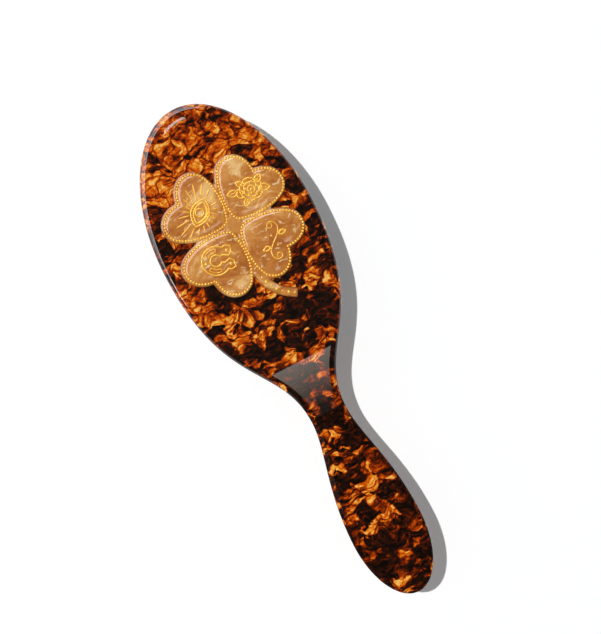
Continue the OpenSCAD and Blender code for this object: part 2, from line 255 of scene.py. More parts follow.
def add_fill(bm, verts, triangles):
    for a, b, c in triangles:
        bm.faces.new((verts[a], verts[b], verts[c]))


# ---- Body outline ----

def outline_stations():
    """Half of the outline from the head's tip to the handle's end, and its inward normals."""
    head, waist, grip = HEAD_W / 2, WAIST_W / 2, GRIP_W / 2
    # How far each curve runs straight on at its ends, as shares of its length
    neck, handle = WAIST_X - HEAD_X, GRIP_X - WAIST_X
    head_pull, waist_pull = 0.665 * neck, 0.345 * neck
    handle_pull, grip_pull = 0.24 * handle, 0.48 * handle
    points = np.concatenate([
        arc(HEAD_X, 0, HEAD_X, head, 180, 90, 44),
        bezier((HEAD_X, head), (HEAD_X + head_pull, head), (WAIST_X - waist_pull, waist),
               (WAIST_X, waist), 40, 1),
        bezier((WAIST_X, waist), (WAIST_X + handle_pull, waist), (GRIP_X - grip_pull, grip),
               (GRIP_X, grip), 26, 1),
        arc(GRIP_X, 0, GRIP_END, grip, 90, 0, 28)[1:]])
    tangents = np.gradient(points, axis=0)
    tangents[0], tangents[-1] = (0, 1), (0, -1)
    normals = np.stack([tangents[:, 1], -tangents[:, 0]], 1)
    return points, normals / np.linalg.norm(normals, axis=1, keepdims=True)


STATIONS, STATION_NORMALS = outline_stations()


def body_ring(inset):
    """One closed ring of the body outline, moved inwards."""
    half = STATIONS + inset * STATION_NORMALS
    half[[0, -1], 1] = 0
    return np.concatenate([half, half[-2:0:-1] * (1, -1)])[::-1]


def dip(x):
    """How far the back face dips at x."""
    t = np.clip((x - DIP_FROM) / (DIP_TO - DIP_FROM), 0, 1)
    return WAIST_DIP * (1 - np.cos(2 * np.pi * t)) / 2


def opening_loop(inset, steps=144):
    """The opening's oval, moved inwards, or outwards where inset is negative."""
    g = np.linspace(0, 2 * np.pi, steps, endpoint=False)
    oval = np.stack([OPENING_X + OPENING_A * np.cos(g),
                     OPENING_B * np.sin(g) * (1 - TAIL_TAPER * np.cos(g))], 1)
    return oval + inset * inward_normals(oval)


def add_plane_ring(bm, outer, inner, outer_points, inner_points):
    """Fills between an outer and an inner ring that lie in one plane."""
    points, triangles = fill([outer_points, inner_points])
    verts = list(outer) + list(inner)
    add_fill(bm, verts, triangles)


# ---- Shells ----

def quarter(radius, steps):
    """Inset and drop along a quarter-round edge, from the wall to the face."""
    a = np.linspace(0, np.pi / 2, steps + 1)
    return [(radius * (1 - math.cos(t)), radius * (1 - math.sin(t))) for t in a]


def make_back_shell(material):
    """The back half: a rounded edge, the dipped face, and the air space behind the cushion."""
    rows = [(SEAM_CHAMFER, SEAM_Z, 0), (0, SEAM_Z + SEAM_CHAMFER, 0)]
    rows += [(inset, BACK_Z - drop, 1) for inset, drop in quarter(BACK_EDGE_R, 14)]
    # On the head, the face rises a little more over a shallow shoulder
    head = np.clip((SHOULDER_END - STATIONS[:, 0]) / SHOULDER_FADE, 0.02, 1)[:, None]
    rows += [(BACK_EDGE_R + SHOULDER_W * t * head, BACK_Z + SHOULDER_T * (1 - (1 - t) ** 2), 1)
             for t in np.linspace(0, 1, 11)[1:]]
    rings = []
    for inset, z, share in rows:
        flat = body_ring(inset)
        sink = SHOULDER_T * np.interp(flat[:, 0], (HEAD_X, SHOULDER_END), (1, 0)) * share
        rise = max(0, z - BACK_Z)
        sink = sink * (1 - rise / SHOULDER_T)
        rings.append(level(flat, z - rise - share * dip(flat[:, 0]) - sink))
    bm = bmesh.new()
    verts = add_rings(bm, rings)
    # The back face: strips from side to side
    top = verts[-1]
    n = len(top)
    last = len(STATIONS) - 1
    order = top[::-1]
    bm.faces.new((order[0], order[1], order[n - 1]))
    for i in range(1, last - 1):
        bm.faces.new((order[i], order[i + 1], order[n - i - 1], order[n - i]))
    bm.faces.new((order[last - 1], order[last], order[last + 1]))
    # The air space behind the cushion
    pocket = opening_loop(0)
    walls = add_rings(bm, [level(pocket, SEAM_Z), level(pocket, SEAM_Z + CAVITY_H)])
    bm.faces.new(walls[-1])
    add_plane_ring(bm, verts[0], walls[0], body_ring(SEAM_CHAMFER), pocket)
    return finish_piece(bm, "back_shell_acetate", "root", material,
                        ["back_shell"])


def make_front_frame(material):
    """The front half, with the opening and the rebate for the cushion's flange."""
    rows = [(inset, FRONT_Z + drop) for inset, drop in quarter(FRONT_EDGE_R, 12)[::-1]]
    rows += [(0, SEAM_Z - SEAM_CHAMFER), (SEAM_CHAMFER, SEAM_Z)]
    bm = bmesh.new()
    verts = add_rings(bm, [level(body_ring(inset), z) for inset, z in rows])
    # The opening: a rounded edge, the wall, and the ledge that holds the cushion's flange
    ledge_z = FLANGE_Z - LEDGE_GAP
    rebate = opening_loop(-FLANGE_W - REBATE_GAP)
    rings = [level(opening_loop(-inset), FRONT_Z + drop)
             for inset, drop in quarter(OPENING_EDGE_R, 5)[::-1]]
    rings += [level(opening_loop(0), ledge_z), level(rebate, ledge_z), level(rebate, SEAM_Z)]
    hole = add_rings(bm, rings)
    add_plane_ring(bm, verts[0], hole[0], body_ring(FRONT_EDGE_R), rings[0][:, :2])
    add_plane_ring(bm, verts[-1], hole[-1], body_ring(SEAM_CHAMFER), rings[-1][:, :2])
    return finish_piece(bm, "front_frame_acetate", "root", material,
                        ["front_frame"])


# ---- Cushion and bristles ----

def row_places(row):
    """Places of the bristles in one row."""
    y = (row - (ROWS + 1) / 2) * ROW_PITCH
    shift = 0.5 if row % 2 == 0 else 0
    reach = math.ceil(OPENING_A / PITCH)
    places = []
    for i in range(-reach, reach + 1):
        x = OPENING_X + (i + shift) * PITCH
        c = (x - OPENING_X) / (OPENING_A - BRISTLE_MARGIN)
        if abs(c) < 1:
            half = (OPENING_B - BRISTLE_MARGIN) * math.sqrt(1 - c * c) * (1 - TAIL_TAPER * c)
            if abs(y) <= half:
                places.append((x, y))
    return places


def membrane_z(points):
    """Height of the cushion's outer face: flat in the middle, falling away to the rim."""
    d = -distance(points, opening_loop(0, 288))
    t = np.clip(1 - d / CROWN_FALL_W, 0, 1)
    return CROWN_Z + CROWN_FALL * t ** 3


def cushion_holes():
    """Every hole: its centre, its rim as radii and heights, and its steps round."""
    shank, vent = SHANK_D / 2, VENT_D / 2
    collar = [(shank, -0.1), (shank + 0.14, -0.3), (shank + 0.42, -0.26), (shank + 0.75, -0.08),
              (shank + 1.05, 0)]
    vent_rim = [(vent, 0.25), (vent + 0.12, 0.06), (vent + 0.4, 0)]
    holes = [(c, collar, 16) for row in range(1, ROWS + 1) for c in row_places(row)]
    return holes + [((OPENING_X + PITCH / 2, 0), vent_rim, 24)]


def make_cushion(material):
    """A crowned rubber sheet with its holes, rolled over into a wall and a flange."""
    holes = cushion_holes()
    rim_inset = 1.9
    edge = opening_loop(rim_inset)
    loops = [edge] + [circle(c, rings[0][0], steps) for c, rings, steps in holes]
    extra = [circle(c, radius, steps) for c, rings, steps in holes for radius, _ in rings[1:]]
    # Loose points between the bristles keep the face smooth
    step = 1.2
    xs = np.arange(OPENING_X - OPENING_A, OPENING_X + OPENING_A, step)
    ys = np.arange(-OPENING_B, OPENING_B, step)
    loose = np.stack(np.meshgrid(xs, ys), 2).reshape(-1, 2)
    loose = loose[-distance(loose, opening_loop(0, 288)) > rim_inset + 1.8]
    loose = np.concatenate([loose, *(opening_loop(inset) for inset in (2.3, 2.8, 3.4))])
    for c, rings, _ in holes:
        loose = loose[np.linalg.norm(loose - c, axis=1) > rings[-1][0] + 0.25]
    points, triangles = fill(loops, extra + [loose])
    lift = np.zeros(len(points))
    for c, rings, _ in holes:
        r = np.linalg.norm(points - c, axis=1)
        for radius, value in rings:
            lift[np.abs(r - radius) < 0.01] = value
    face_z = membrane_z(points)
    bm = bmesh.new()
    outer = [bm.verts.new((*p, z)) for p, z in zip(points, face_z + lift)]
    inner = [bm.verts.new((*p, z)) for p, z in zip(points, face_z + MEMBRANE_T)]
    add_fill(bm, outer, triangles)
    add_fill(bm, inner, triangles)
    start = len(edge)
    for loop in loops[1:]:
        n = len(loop)
        for i in range(n):
            a, b = start + i, start + (i + 1) % n
            bm.faces.new((outer[a], outer[b], inner[b], inner[a]))
        start += n
    # The rim rolls over into the side wall, the flange and the wall's inside
    low = face_z[:len(edge)]
    wall_z = FRONT_Z + 1.2
    rows = []
    for t in np.linspace(0, np.pi / 2, 7)[1:]:
        inset = SKIRT_GAP + (rim_inset - SKIRT_GAP) * (1 - math.sin(t))
        rows.append(level(opening_loop(inset), low + (wall_z - low) * (1 - math.cos(t))))
    for inset, z in ((SKIRT_GAP, FLANGE_Z), (-FLANGE_W, FLANGE_Z), (-FLANGE_W, CUSHION_TOP),
                     (rim_inset, CUSHION_TOP)):
        rows.append(level(opening_loop(inset), z))
    join_rings(bm, [outer[:len(edge)]] + [new_ring(bm, row) for row in rows] + [inner[:len(edge)]])
    cushion = finish_piece(bm, "cushion_rubber_pad", None, material, ["cushion"], 50)
    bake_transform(cushion)
    return cushion


def make_bristle_row(row, material):
    """Nylon pins: a disc behind the membrane, a shank that tapers a little, and a ball tip."""
    shank, ball, disc = SHANK_D / 2, BALL_D / 2, DISC_D / 2
    root_z = CROWN_Z + MEMBRANE_T
    waist = shank * 0.86
    profile = [(0, root_z + DISC_T), (disc - 0.15, root_z + DISC_T), (disc, root_z + DISC_T - 0.15),
               (disc, root_z), (shank, root_z), (shank, CROWN_Z - 0.2), (shank * 0.97, CROWN_Z * 0.7),
               (waist, ball * 2.6), (waist, ball * 2.02)]
    join = math.degrees(math.asin(waist / ball))
    for a in np.radians(np.linspace(join, 180, 10)):
        profile.append((ball * math.sin(a), ball + ball * math.cos(a)))
    bm = bmesh.new()
    for x, y in row_places(row):
        rings = [new_ring(bm, level(circle((x, y), max(r, 1e-3), 14), z)) for r, z in profile]
        join_rings(bm, rings)
        bm.faces.new(rings[0])
        bm.faces.new(rings[-1])
    return finish_piece(bm, f"bristle_row_{row}_pins", f"bristle_row_{row}", material,
                        [f"bristle_row_{row}"], 45)


# ---- Clover plate ----

def leaf_loop(leaf):
    """One heart-shaped leaf as a closed loop, about the clover's centre."""
    half = np.concatenate([bezier((1.3, 0), (1.3, 2.5), (9.5, 13.5), (19.5, 15.1), 26),
                           bezier((19.5, 15.1), (26.5, 15), (30, 7), (23.3, 0), 24, 1)])
    whole = np.concatenate([half, half[-2:0:-1] * (1, -1)])
    x, y, angle, size = leaf
    apart = (1 - CLOVER_K) * LEAF_GAP
    place = (CLOVER_K * x + apart * math.cos(math.radians(angle)),
             CLOVER_K * y + apart * math.sin(math.radians(angle)))
    return turned(whole * size * CLOVER_K, angle, place)


def stem_line():
    return CLOVER_K * bezier((22, 0.6), (30, 1.5), (34, 4.5), (38.2, 12.6), 24)


def band(points, width):
    """The outline of a strip along a line."""
    tangents = np.gradient(points, axis=0)
    sides = np.stack([-tangents[:, 1], tangents[:, 0]], 1)
    sides *= width / 2 / np.linalg.norm(sides, axis=1, keepdims=True)
    return np.concatenate([points + sides, (points - sides)[::-1]])


def smooth_min(a, b, k):
    """The smaller of two distances, with a fillet of width k where they meet."""
    h = np.maximum(k - np.abs(a - b), 0) / k
    return np.minimum(a, b) - h * h * k / 4


def clover_fields(points):
    """Distance to the plate's edge, and to the nearest bead line; both negative inside.

    The plate's margin outside the beads is wider on one side.
    """
    to_leaves = [distance(points, leaf_loop(leaf)) for leaf in LEAVES.values()]
    to_margins = [distance(points - MARGIN_SHIFT, leaf_loop(leaf)) for leaf in LEAVES.values()]
    round_end = 0.5
    root_end = CLOVER_K * np.array([(15, -0.4)])
    stem_band = band(np.concatenate([root_end, stem_line()[:-1]]), STEM_W - 2 * round_end)
    stem = distance(points, stem_band) - round_end
    hub = np.linalg.norm(points, axis=1) - CLOVER_K * HUB_D / 2
    plate = smooth_min(stem, hub, PLATE_FILLET)
    for d in to_margins:
        plate = smooth_min(plate, d - CLOVER_EDGE, PLATE_FILLET)
    return plate, np.minimum.reduce(to_leaves)


def clover_height(plate, leaf):
    """Top of the plate: a rounded edge, a fine groove under the beads, and pillowed leaves."""
    edge = np.clip(1 + plate / PLATE_EDGE_R, 0, 1)
    top = LEAF_Z - PLATE_EDGE_R * (1 - np.sqrt(1 - edge ** 2))
    groove = GROOVE_T * np.exp(-(leaf / GROOVE_W) ** 2)
    start, brim_w, swell_w = 0.5, 1.1, 4.5
    brim = np.sin(np.clip((-leaf - start) / brim_w, 0, 1) * np.pi / 2)
    swell = np.sin(np.clip((-leaf - start) / swell_w, 0, 1) * np.pi / 2)
    return top - groove + PILLOW_T * (0.42 * brim + 0.58 * swell)


def make_clover_plate(material):
    """A grid cut off at the plate's edge, lifted to the plate's height, with a wall below."""
    step, first, last = 0.4, -34, 44
    grid = np.arange(first, last, step)
    nx = len(grid)
    flat = np.stack(np.meshgrid(grid, grid, indexing="ij"), 2).reshape(-1, 2)
    plate, _ = clover_fields(flat)
    bm = bmesh.new()
    near = plate < 2 * step
    verts = {i: bm.verts.new((*flat[i], plate[i])) for i in np.nonzero(near)[0]}
    for i in range(nx - 1):
        for j in range(nx - 1):
            near_row, far_row = i * nx + j, (i + 1) * nx + j
            square = [near_row, far_row, far_row + 1, near_row + 1]
            if all(k in verts for k in square):
                a, b, c, d = (verts[k] for k in square)
                pair = ((a, b, c), (a, c, d)) if (i + j) % 2 else ((a, b, d), (b, c, d))
                for triangle in pair:
                    bm.faces.new(triangle)
    # The third coordinate holds the distance to the edge, so cuts at a level follow the edge
    for cut in (0, -0.12 * PLATE_EDGE_R, -0.45 * PLATE_EDGE_R, -PLATE_EDGE_R):
        bmesh.ops.bisect_plane(bm, geom=bm.verts[:] + bm.edges[:] + bm.faces[:], dist=1e-5,
                               plane_co=(0, 0, cut), plane_no=(0, 0, 1), clear_outer=cut == 0)
    bmesh.ops.triangulate(bm, faces=bm.faces[:])
    bm.verts.ensure_lookup_table()
    flat = np.array([v.co[:2] for v in bm.verts])
    field = np.array([v.co[2] for v in bm.verts])
    _, leaf = clover_fields(flat)
    for v, z in zip(bm.verts, clover_height(field, leaf)):
        v.co.z = z
    rim = [e for e in bm.edges if e.is_boundary]
    walls = bmesh.ops.extrude_edge_only(bm, edges=rim)["geom"]
    low = [v for v in walls if isinstance(v, bmesh.types.BMVert)]
    for v in low:
        v.co.z = BACK_Z
    bmesh.ops.contextual_create(bm, geom=[e for e in walls if isinstance(e, bmesh.types.BMEdge)])
    for v in bm.verts:
        v.co.x += CLOVER_X
    return finish_piece(bm, "clover_pearl_plate", "root", material,
                        ["clover_plate"], 50)


# ---- Gold trim ----

def add_dome(bm, centre, diameter, z, steps=12, rows=4):
    """A half ball that stands on a small straight foot."""
    radius, foot, rise = diameter / 2, 0.3, 0.8
    rings = [level(circle(centre, radius, steps), z - foot)]
    for a in np.radians(np.linspace(0, 80, rows)):
        ring = circle(centre, radius * math.cos(a), steps)
        rings.append(level(ring, z + rise * radius * math.sin(a)))
    made = [new_ring(bm, ring) for ring in rings]
    join_rings(bm, made)
    bm.faces.new(made[0])
    bm.faces.new(made[-1])


def make_leaf_beads(name, material):
    """A closed string of beads round one leaf."""
    loop = leaf_loop(LEAVES[name])
    closed = np.concatenate([loop, loop[:1]])
    total = lengths(closed)[-1]
    count = math.floor(total / BEAD_PITCH)
    bm = bmesh.new()
    for place in along(closed, total * np.arange(count) / count):
        add_dome(bm, place + (CLOVER_X, 0), SEEN_BEAD_D, LEAF_Z - 0.05)
    return finish_piece(bm, f"{name}_leaf_gilt_beads", "root", material,
                        [f"{name}_leaf_beads"])


def make_stem_studs(material):
    """Small and large studs by turns along the stem."""
    line = stem_line()
    total = lengths(line)[-1]
    first, end_gap, count = 3.4, 1.9, 7
    bm = bmesh.new()
    for i, place in enumerate(along(line, np.linspace(first, total - end_gap, count))):
        add_dome(bm, place + (CLOVER_X, 0), BEAD_D * (1 + 0.5 * (i % 2)), LEAF_Z)
    return finish_piece(bm, "stem_gilt_studs", "root", material, ["stem_studs"])


def add_line(bm, points, width=SEEN_LINE_W, closed=False, taper=0.0):
    """A raised gold line with a half-round section; taper narrows its ends."""
    points = np.asarray(points, float)
    if closed:
        tangents = np.roll(points, -1, 0) - np.roll(points, 1, 0)
    else:
        tangents = np.gradient(points, axis=0)
    sides = np.stack([-tangents[:, 1], tangents[:, 0]], 1)
    sides /= np.linalg.norm(sides, axis=1, keepdims=True)
    sink = 0.12
    section = [(-0.5, -sink)] + [(-0.5 * math.cos(a), LINE_T * math.sin(a))
                                 for a in np.radians((0, 36, 72, 108, 144, 180))] + [(0.5, -sink)]
    n = len(points)
    s = np.linspace(-1, 1, n)
    scale = np.ones(n) if closed else 1 - taper * np.abs(s) ** 3
    rings = []
    for p, side, k in zip(points, sides, scale):
        height = min(1, 0.3 + k)
        rings.append(new_ring(bm, [(*(p + side * across * width * k), MOTIF_Z + up * height)
                                   for across, up in section]))
    join_rings(bm, rings + rings[:1] if closed else rings)
    if not closed:
        bm.faces.new(rings[0])
        bm.faces.new(rings[-1])


def lens(length, half, steps=14):
    """A small pointed leaf that starts at the origin."""
    t = np.linspace(0, 1, steps + 1)
    side = half * np.sin(np.pi * t ** 0.8)
    upper = np.stack([length * t, side], 1)
    return np.concatenate([upper, upper[-2:0:-1] * (1, -1)])


def almond(half_l, half_h, steps=18):
    """An eye shape about the origin."""
    x = np.linspace(1, -1, steps + 1)
    upper = np.stack([half_l * x, half_h * (1 - x * x)], 1)
    return np.concatenate([upper, upper[-2:0:-1] * (1, -1)])


class Motif:
    """Gold lines drawn about a place on the clover."""

    def __init__(self, place, angle=0):
        self.bm = bmesh.new()
        self.place, self.angle = np.array(place, float), angle

    def put(self, points):
        return turned(points, self.angle, self.place) * CLOVER_K + (CLOVER_X, 0)

    def line(self, points, **how):
        add_line(self.bm, self.put(points), **how)

    def dot(self, at, diameter):
        add_dome(self.bm, self.put([at])[0], diameter, MOTIF_Z)

    def piece(self, name, material):
        return finish_piece(self.bm, f"{name}_gilt_motif", "root", material,
                            [f"{name}_motif"], 60)


def make_rose(material):
    rose = Motif((-10.4, 14.2))
    petals = 5
    for layer in (1, 2, 3):
        for i in range(petals):
            petal = arc(0, 0, 0.75 * layer, 0.95 * layer, -105, 68, 14) + (0.9 * layer, 0)
            rose.line(turned(petal, 360 / petals * (i + layer / 2)))
    rose.dot((0, 0), 1.1)
    for angle, out, length, half in ((72, 3.6, 4.6, 1.5), (122, 3.6, 3.8, 1.3), (258, 6, 4.6, 1.4),
                                     (316, 4.6, 3.2, 1.1), (222, 4.2, 3, 1.1)):
        rose.line(turned(lens(length, half) + (out, 0), angle), closed=True)
        vein = np.stack([np.linspace(0.4, length * 0.7, 6) + out, np.zeros(6)], 1)
        rose.line(turned(vein, angle), taper=0.4, width=LINE_W * 0.8)
    rose.line(arc(-0.2, -5.2, 1.9, 1.4, 0, 360, 24)[:-1], closed=True)
    return rose.piece("rose", material)


def make_eye(material):
    tilt, half_l, half_h, rays = -44, 6.4, 3.9, 20
    eye = Motif((-11.2, -9.8), tilt)
    eye.line(almond(half_l, half_h), closed=True)
    eye.line(almond(half_l * 0.76, half_h * 0.68), closed=True)
    x = np.linspace(-0.83, 0.83, 15)
    lid = np.stack([half_l * 0.78 * x, half_h * 0.8 * (1 - x * x)], 1)
    eye.line(lid, width=2 * LINE_W, taper=0.6)
    for i in range(-4, 5):
        u = i / 5.4
        eye.dot((half_l * 0.88 * u, -half_h * 0.84 * (1 - u * u)), LINE_W)
    eye.line(arc(0, -0.25, 1.75, 1.75, 0, 360, 28)[:-1], closed=True)
    for i in range(rays):
        a = 360 * (i + 0.35) / rays
        gap = 1 / math.hypot(math.cos(math.radians(a - tilt)) / (half_l + 0.6),
                             math.sin(math.radians(a - tilt)) / (half_h + 0.5))
        reach = (2.5 + 4.3 * max(0, math.cos(math.radians(a - 172))) ** 4
                 + 4.4 * max(0, math.cos(math.radians(a - 285))) ** 6)
        ray = np.stack([np.linspace(gap, gap + reach, 8), np.zeros(8)], 1)
        eye.line(turned(ray, a - tilt), width=0.6, taper=0.5)
    return eye.piece("eye", material)


def make_horseshoe(material):
    shoe = Motif((10.2, -13), -9)
    heel = np.array([(-4.7, 4.1), (-5.3, 5.1), (-4.7, 7.4), (-1.9, 7.3), (-0.7, 5.6), (-1.8, 3.2)])
    right_heel = heel * (-1, 1)
    path = np.concatenate([arc(0, 0, 6.2, 6.2, 140, 400, 40), right_heel,
                           arc(0, 0, 2.5, 2.5, 420, 120, 30), heel[::-1]])
    shoe.line(path, closed=True)
    for side in (1, -1):
        slot = np.concatenate([arc(0, 0, 5.1, 5.1, 168, 232, 14), arc(0, 0, 3.7, 3.7, 232, 168, 12)])
        shoe.line(slot * (side, 1), closed=True, width=LINE_W * 0.9)
        shoe.dot((-3 * side, 5.7), 1.5)
    shoe.dot((0, -4.6), 1.4)
    return shoe.piece("horseshoe", material)


def make_scroll(material):
    scroll = Motif((13.6, 13.2), -50)
    steps, curl, tight_from, tight, stride = 28, 1.06, 17, 1.35, 0.62
    half, angle, p = [], 0.0, np.zeros(2)
    for i in range(steps + 1):
        half.append(p.copy())
        p = p + turned([(stride, 0)], angle)[0]
        angle += curl * i * (tight if i > tight_from else 1)
    half = np.array(half)
    scroll.line(np.concatenate([-half[:0:-1], half]), width=LINE_W * 1.1, taper=0.3)
    for turn in (0, 180):
        leaf = turned(lens(3.4, 0.9), -38) + (3.4, -0.5)
        scroll.line(turned(leaf, turn), closed=True)
        scroll.dot(tuple(turned([(1.2, 2.1)], turn)[0]), 0.9)
    return scroll.piece("scroll", material)


# ---- Materials ----

ACETATE_IOR = 1.49
# Cells per millimetre; then the cover at which a shard starts, how fast it brightens from there,
# and the light taken off its tone
SHARD_SCALE, CHIP_SCALE = 0.19, 0.38
SHARD_LEVEL, SHARD_CONTRAST, LIGHT_LEVEL = 0.86, 5.4, 0.44


class Paint:
    """A node material under construction; each helper adds a node and returns its output."""

    def __init__(self, name):
        self.material = bpy.data.materials.new(name)
        self.material.use_nodes = True
        self.tree = self.material.node_tree
        self.shader = self.tree.nodes["Principled BSDF"]
        where = self.tree.nodes.new("ShaderNodeTexCoord").outputs["Object"]
        # The place on the surface, in millimetres
        self.place = self.vector("SCALE", where, scale=1 / MM)

    def link(self, value, socket):
        """Joins a node's output to a socket, or sets the socket to a plain value."""
        if isinstance(value, bpy.types.NodeSocket):
            self.tree.links.new(value, socket)
        elif value is not None:
            socket.default_value = value

    def vector(self, operation, a, b=None, scale=None):
        node = self.tree.nodes.new("ShaderNodeVectorMath")
        node.operation = operation
        self.link(a, node.inputs[0])
        self.link(b, node.inputs[1])
        if scale is not None:
            self.link(scale, node.inputs["Scale"])
        return node.outputs[0]

    def math(self, operation, a, b=None, third=None, clamp=False):
        node = self.tree.nodes.new("ShaderNodeMath")
        node.operation, node.use_clamp = operation, clamp
        for socket, value in zip(node.inputs, (a, b, third)):
            self.link(value, socket)
        return node.outputs[0]

    def weigh(self, *terms):
        """Weighted sum of (value, weight) pairs."""
        total = 0.0
        for value, weight in terms:
            total = self.math("MULTIPLY_ADD", value, weight, third=total)
        return total

    def axis(self, number):
        """The place along one axis of the row frame, in millimetres."""
        node = self.tree.nodes.new("ShaderNodeSeparateXYZ")
        self.link(self.place, node.inputs[0])
        return node.outputs[number]

    def noise(self, place, scale, detail=2, rough=0.5, distortion=0.0, colour=False):
        node = self.tree.nodes.new("ShaderNodeTexNoise")
        self.link(place, node.inputs["Vector"])
        for name, value in (("Scale", scale), ("Detail", detail), ("Roughness", rough),
                            ("Distortion", distortion)):
            node.inputs[name].default_value = value
        return node.outputs["Color" if colour else "Fac"]

    def cells(self, place, scale, feature="F1"):
        """One random number per cell."""
        node = self.tree.nodes.new("ShaderNodeTexVoronoi")
        node.feature = feature
        self.link(place, node.inputs["Vector"])
        node.inputs["Scale"].default_value = scale
        split = self.tree.nodes.new("ShaderNodeSeparateColor")
        self.link(node.outputs["Color"], split.inputs[0])
        return split.outputs[0]

    def seams(self, place, scale):
        """Distance to the nearest border between the same cells."""
        node = self.tree.nodes.new("ShaderNodeTexVoronoi")
        node.feature = "DISTANCE_TO_EDGE"
        self.link(place, node.inputs["Vector"])
        node.inputs["Scale"].default_value = scale
        return node.outputs["Distance"]

    def warp(self, place, scale, detail=2, rough=0.5):
        """Noise round zero in all three axes."""
        noise = self.noise(place, scale, detail, rough, colour=True)
        return self.vector("SUBTRACT", noise, (0.5, 0.5, 0.5))

    def shifted(self, place, warp, amount):
        """The place moved along a warp."""
        return self.vector("ADD", place, self.vector("SCALE", warp, scale=amount))

    def mapped(self, place, turn=(0, 0, 0), stretch=(1, 1, 1), shift=(0, 0, 0)):
        """The place turned, in degrees, stretched and shifted."""
        node = self.tree.nodes.new("ShaderNodeMapping")
        self.link(place, node.inputs["Vector"])
        node.inputs["Rotation"].default_value = [math.radians(a) for a in turn]
        node.inputs["Scale"].default_value = stretch
        node.inputs["Location"].default_value = shift
        return node.outputs[0]

    def ramp(self, value, stops, interpolation="LINEAR"):
        node = self.tree.nodes.new("ShaderNodeValToRGB")
        node.color_ramp.interpolation = interpolation
        stops = [(at, (*colour, 1) if isinstance(colour, tuple) else (colour,) * 3 + (1,))
                 for at, colour in stops]
        elements = node.color_ramp.elements
        while len(elements) < len(stops):
            elements.new(0.5)
        for element, (at, colour) in zip(elements, stops):
            element.position, element.color = at, colour
        self.link(value, node.inputs[0])
        return node.outputs[0]

    def mix(self, share, a, b, blend="MIX"):
        node = self.tree.nodes.new("ShaderNodeMix")
        node.data_type, node.blend_type = "RGBA", blend
        self.link(share, node.inputs[0])
        self.link((*a, 1) if isinstance(a, tuple) else a, node.inputs[6])
        self.link((*b, 1) if isinstance(b, tuple) else b, node.inputs[7])
        return node.outputs[2]

    def bump(self, height, strength, distance_mm):
        node = self.tree.nodes.new("ShaderNodeBump")
        self.link(height, node.inputs["Height"])
        node.inputs["Strength"].default_value = strength
        node.inputs["Distance"].default_value = distance_mm * MM
        self.link(node.outputs[0], self.shader.inputs["Normal"])

    def set(self, **values):
        """Sets the shader's sockets and returns the material."""
        for name, value in values.items():
            self.link(value, self.shader.inputs[name.replace("_", " ")])
        return self.material


def srgb(red, green, blue):
    """Linear colour of an 8-bit sRGB colour."""
    return tuple(c / 12.92 if c <= 0.04045 else ((c + 0.055) / 1.055) ** 2.4
                 for c in (red / 255, green / 255, blue / 255))


def tortoise(name, shift):
    """Near-black acetate with amber shards of two sizes and streaks inside them."""
    paint = Paint(name)
    place = paint.mapped(paint.place, shift=shift)
    coarse = paint.warp(place, 0.12, 1)
    bent = paint.shifted(paint.shifted(place, coarse, 9.0), paint.warp(place, 0.4, 2, 0.45), 1.9)
    long_way = paint.mapped(bent, (0, 0, 24), (1, 0.72, 0.8))
    across = paint.mapped(bent, (0, 0, -50), (1, 0.6, 0.8), (31, 7, 0))
    shards, veins = paint.cells(long_way, SHARD_SCALE), paint.seams(long_way, SHARD_SCALE)
    chips, seams = paint.cells(across, CHIP_SCALE), paint.seams(across, CHIP_SCALE)
    clouds = paint.noise(place, 0.08)
    calm = paint.mapped(paint.shifted(place, coarse, 8.0), (0, 0, 62), (1, 0.45, 1))
    streaks = paint.noise(calm, 0.68, 3, 0.55, 0.3)
    grain = paint.noise(bent, 1.3)
    # The tip of the head holds more amber, the neck less
    along_brush = paint.math("ADD", paint.math("DIVIDE", paint.axis(0), LENGTH), 0.5)
    amber = paint.ramp(along_brush, [(0.0, 1.0), (0.18, 0.72), (0.33, 0.44), (0.62, 0.3),
                                     (0.8, 0.42)])
    # How far a place lies inside a shard, with edges sharp in one region and soft in another
    cover = paint.weigh((shards, 0.40), (chips, 0.34), (clouds, 0.4), (streaks, 0.3),
                        (amber, 0.45))
    softness = paint.ramp(paint.noise(place, 0.1, 1), [(0.4, 0.3), (0.6, 1.0)])
    softness = paint.math("MULTIPLY", softness, SHARD_CONTRAST)
    shard = paint.math("SUBTRACT", cover, SHARD_LEVEL)
    shard = paint.math("MULTIPLY", shard, softness, clamp=True)
    shard = paint.math("MULTIPLY", shard, paint.ramp(veins, [(0.0, 0.3), (0.1, 1.0)]))
    shard = paint.math("MULTIPLY", shard, paint.ramp(seams, [(0.0, 0.75), (0.12, 1.0)]))
    light = paint.weigh((streaks, 0.85), (grain, 0.75), (chips, 0.36), (shards, 0.2))
    light = paint.math("SUBTRACT", light, LIGHT_LEVEL)
    tone = paint.math("MULTIPLY", shard, light, clamp=True)
    haze = paint.math("MULTIPLY", paint.ramp(streaks, [(0.4, 0.0), (0.75, 1.0)]), 0.2)
    tone = paint.math("ADD", tone, haze)
    colour = paint.ramp(tone, [(0.0, srgb(15, 11, 8)), (0.08, srgb(38, 18, 10)),
                               (0.2, srgb(88, 27, 8)), (0.34, srgb(142, 48, 5)),
                               (0.48, srgb(190, 70, 6)), (0.64, srgb(218, 102, 14)),
                               (0.82, srgb(236, 148, 40)), (0.97, srgb(248, 194, 98))])
    # The handle has lost most of its polish
    polish = paint.ramp(along_brush, [(0.51, 1.0), (0.55, 0.6), (0.61, 0.05)])
    return paint.set(Base_Color=colour, Roughness=0.5, Coat_Weight=polish, Coat_Roughness=0.02,
                     Coat_IOR=ACETATE_IOR, Specular_IOR_Level=0.0)


